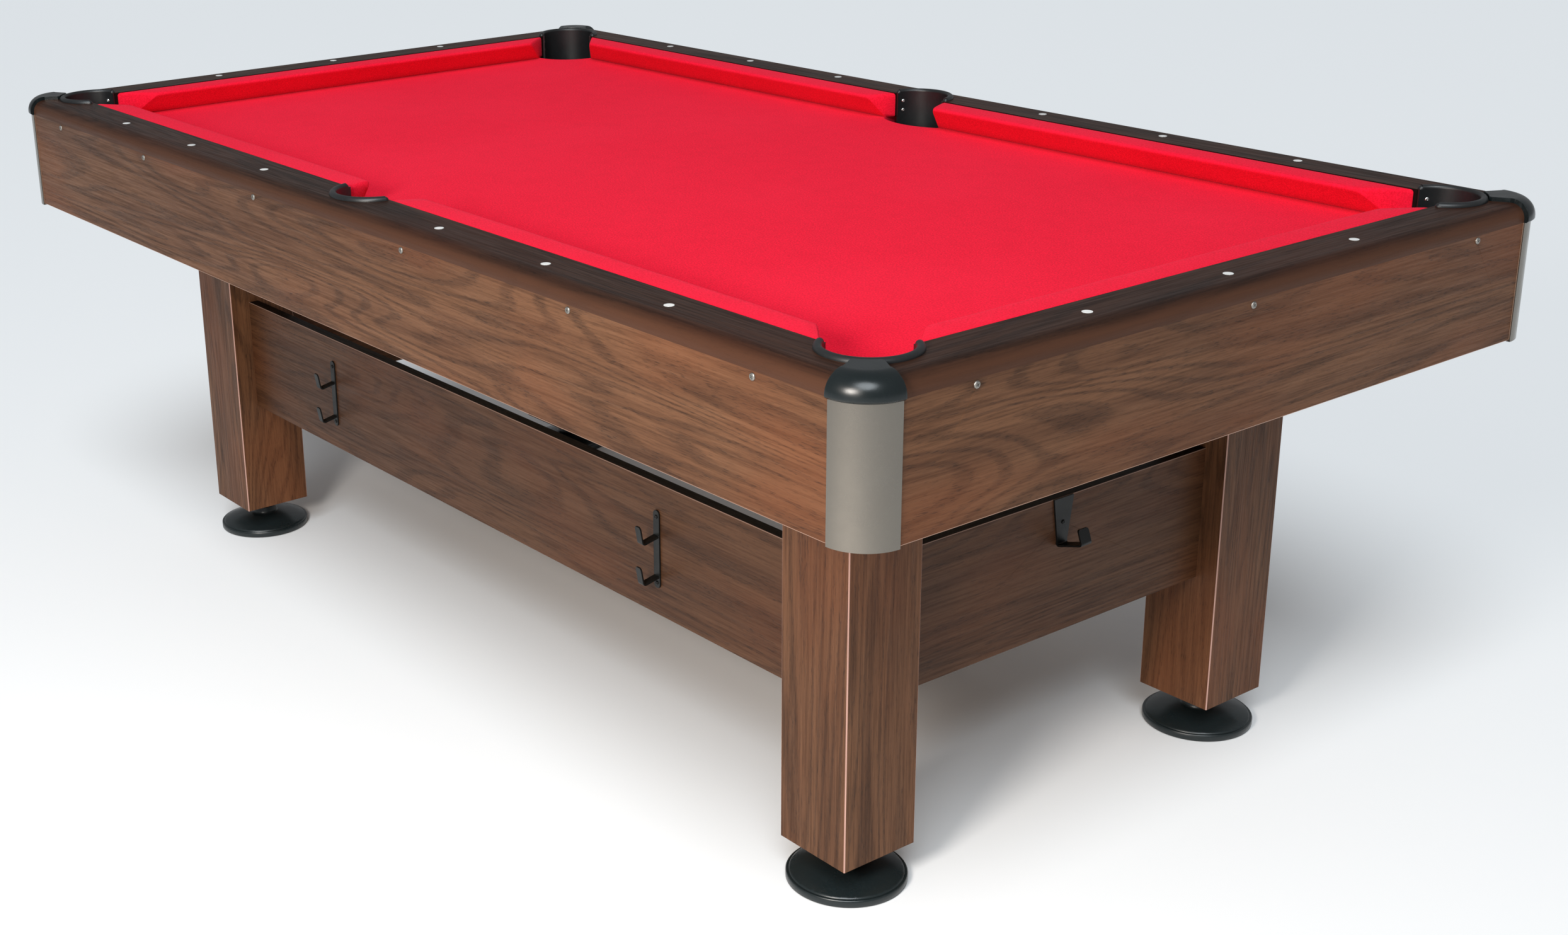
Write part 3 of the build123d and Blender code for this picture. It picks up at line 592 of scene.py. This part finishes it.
def cushion(node, low_skew, high_skew, place):
    """A cloth-covered rubber cushion, lofted along the rail, with rounded folds at its cut ends."""
    low, high = place.span
    shape = Shape()
    stations = [(-1, degrees) for degrees in (90, 72, 54, 36, 18)]
    stations += [(0, step / 40) for step in range(41)]
    stations += [(1, degrees) for degrees in (18, 36, 54, 72, 90)]
    rings = []
    for side, value in stations:
        turn = radians(value) if side else 0.0
        shrink = 1.0 - fold_shrink * (1.0 - cos(turn))
        along = 0.0 if side < 0 else 1.0 if side > 0 else value
        points = []
        for v, z in cushion_section:
            v = fold_middle + (v - fold_middle) * shrink
            z = z * shrink
            start = low + low_skew * v / nose_reach + fold_radius
            end = high - high_skew * v / nose_reach - fold_radius
            a = start + (end - start) * along + side * fold_radius * sin(turn)
            wave = 0.12 * sin(41.0 * a) + 0.08 * sin(97.0 * a + 1.0)
            wave *= min(1.0, z / 40) * min(1.0, max(0.0, v) / 20)
            points.append(place(a, v / 1000, (z + wave) / 1000))
        rings.append(shape.ring(points, [(v, z) for v, z in cushion_section]))
    for first, second in zip(rings, rings[1:]):
        shape.join(first, second)
    shape.close(rings[0])
    shape.close(rings[-1])
    piece = finished(node + "_covered", shape.mesh(node + "_covered"), cushion_felt, "table", node)


class Side:
    """Turns a place along a rail, in from its wood and up from the bed into a place on the table."""

    def __init__(self, node, axis, sign):
        low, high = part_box(node)
        self.axis, self.sign = axis, sign
        self.span = (low[axis], high[axis])
        across = 1 - axis
        self.wood = max(abs(low[across]), abs(high[across]))

    def __call__(self, along, inwards, up):
        across = self.sign * (self.wood - inwards)
        height = cloth_high.z + up
        return (along, across, height) if self.axis == 0 else (across, along, height)


side_skew, corner_skew = 0.021, 0.058   # how much shorter the nose is at each kind of pocket
for name, sign in (("front", -1), ("back", 1)):
    cushion(f"cushion_{name}_right", side_skew, corner_skew, Side(f"cushion_{name}_right", 0, sign))
    cushion(f"cushion_{name}_left", corner_skew, side_skew, Side(f"cushion_{name}_left", 0, sign))
for name, sign in (("right", 1), ("left", -1)):
    cushion(f"cushion_{name}", corner_skew, corner_skew, Side(f"cushion_{name}", 1, sign))


# Two bright pan-head screws near the top of each end of a pocket liner's wall

head_steps = 24
head_profile = [(0.0012, 0.0013), (0.0023, 0.0010), (0.0030, 0.0004), (0.0032, 0.0)]
recess_radius, recess_reach, recess_height = 0.0004, 2.2, 0.0006


def circle(bm, radius, height, reach=1.0):
    """A ring of vertices. Every quarter turn, one of them lies reach times as far out."""
    ring = []
    for step in range(head_steps):
        angle = 2 * pi * step / head_steps
        out = radius * (reach if step % (head_steps // 4) == 0 else 1.0)
        ring.append(bm.verts.new((out * cos(angle), out * sin(angle), height)))
    return ring


def screw_head(name, place, outwards):
    """A low domed head with a cross recess. outwards is the way the head faces."""
    bm = bmesh.new()
    rings = [circle(bm, radius, height) for radius, height in head_profile]
    recess = circle(bm, recess_radius, recess_height, recess_reach)
    bm.faces.new(recess)
    for first, second in zip([recess, *rings], rings):
        for here in range(head_steps):
            after = (here + 1) % head_steps
            bm.faces.new((first[here], first[after], second[after], second[here]))
    bm.faces.new(rings[-1][::-1])
    turn = Vector(outwards).to_track_quat("Z", "Y").to_matrix().to_4x4()
    bmesh.ops.transform(bm, matrix=turn, verts=bm.verts)
    bmesh.ops.translate(bm, vec=place, verts=bm.verts)
    bmesh.ops.recalc_face_normals(bm, faces=bm.faces)
    mesh = bpy.data.meshes.new(name)
    bm.to_mesh(mesh)
    bm.free()
    mesh.shade_smooth()
    finished(name, mesh, liner_screw, "table")


corner_pocket_inset, side_pocket_inset = 0.098, 0.084
corner_throat, side_throat = 0.050, 0.053
corner_swing, side_swing = 96, 70       # degrees from a liner's back to its screws
screw_drops = (0.014, 0.030)            # below the rail top
screw_sink = 0.0002

# Kind, X and Y of the axis, throat radius, swing, and direction of the back
liners = [("corner", sx * (outer_x - corner_pocket_inset), sy * (outer_y - corner_pocket_inset),
           corner_throat, corner_swing, atan2(sy, sx)) for sx in (-1, 1) for sy in (-1, 1)]
liners += [("side", 0.0, sy * (outer_y - side_pocket_inset), side_throat, side_swing, atan2(sy, 0))
           for sy in (-1, 1)]
for count, (kind, x, y, throat, swing, back) in enumerate(liners):
    for side, letter in ((-1, "a"), (1, "b")):
        for row, drop in enumerate(screw_drops):
            turn = back + side * radians(swing)
            away = Vector((cos(turn), sin(turn), 0.0))
            place = Vector((x, y, rail_top - drop)) + away * (throat + screw_sink)
            screw_head(f"liner_screw_{kind}_{count}_{letter}{row}", place, -away)


# Floor

floor_half, floor_height = 14.0, -0.0006
floor_corners = [(-1, -1), (1, -1), (1, 1), (-1, 1)]
floor_mesh = bpy.data.meshes.new("floor")
floor_points = [(sx * floor_half, sy * floor_half, floor_height) for sx, sy in floor_corners]
floor_mesh.from_pydata(floor_points, [], [(0, 1, 2, 3)])
floor = bpy.data.objects.new("floor", floor_mesh)
scene.collection.objects.link(floor)
floor_paint = Shader("floor", (0.86, 0.86, 0.86), 0.7, specular=0.2)
floor_mesh.materials.append(floor_paint.material)
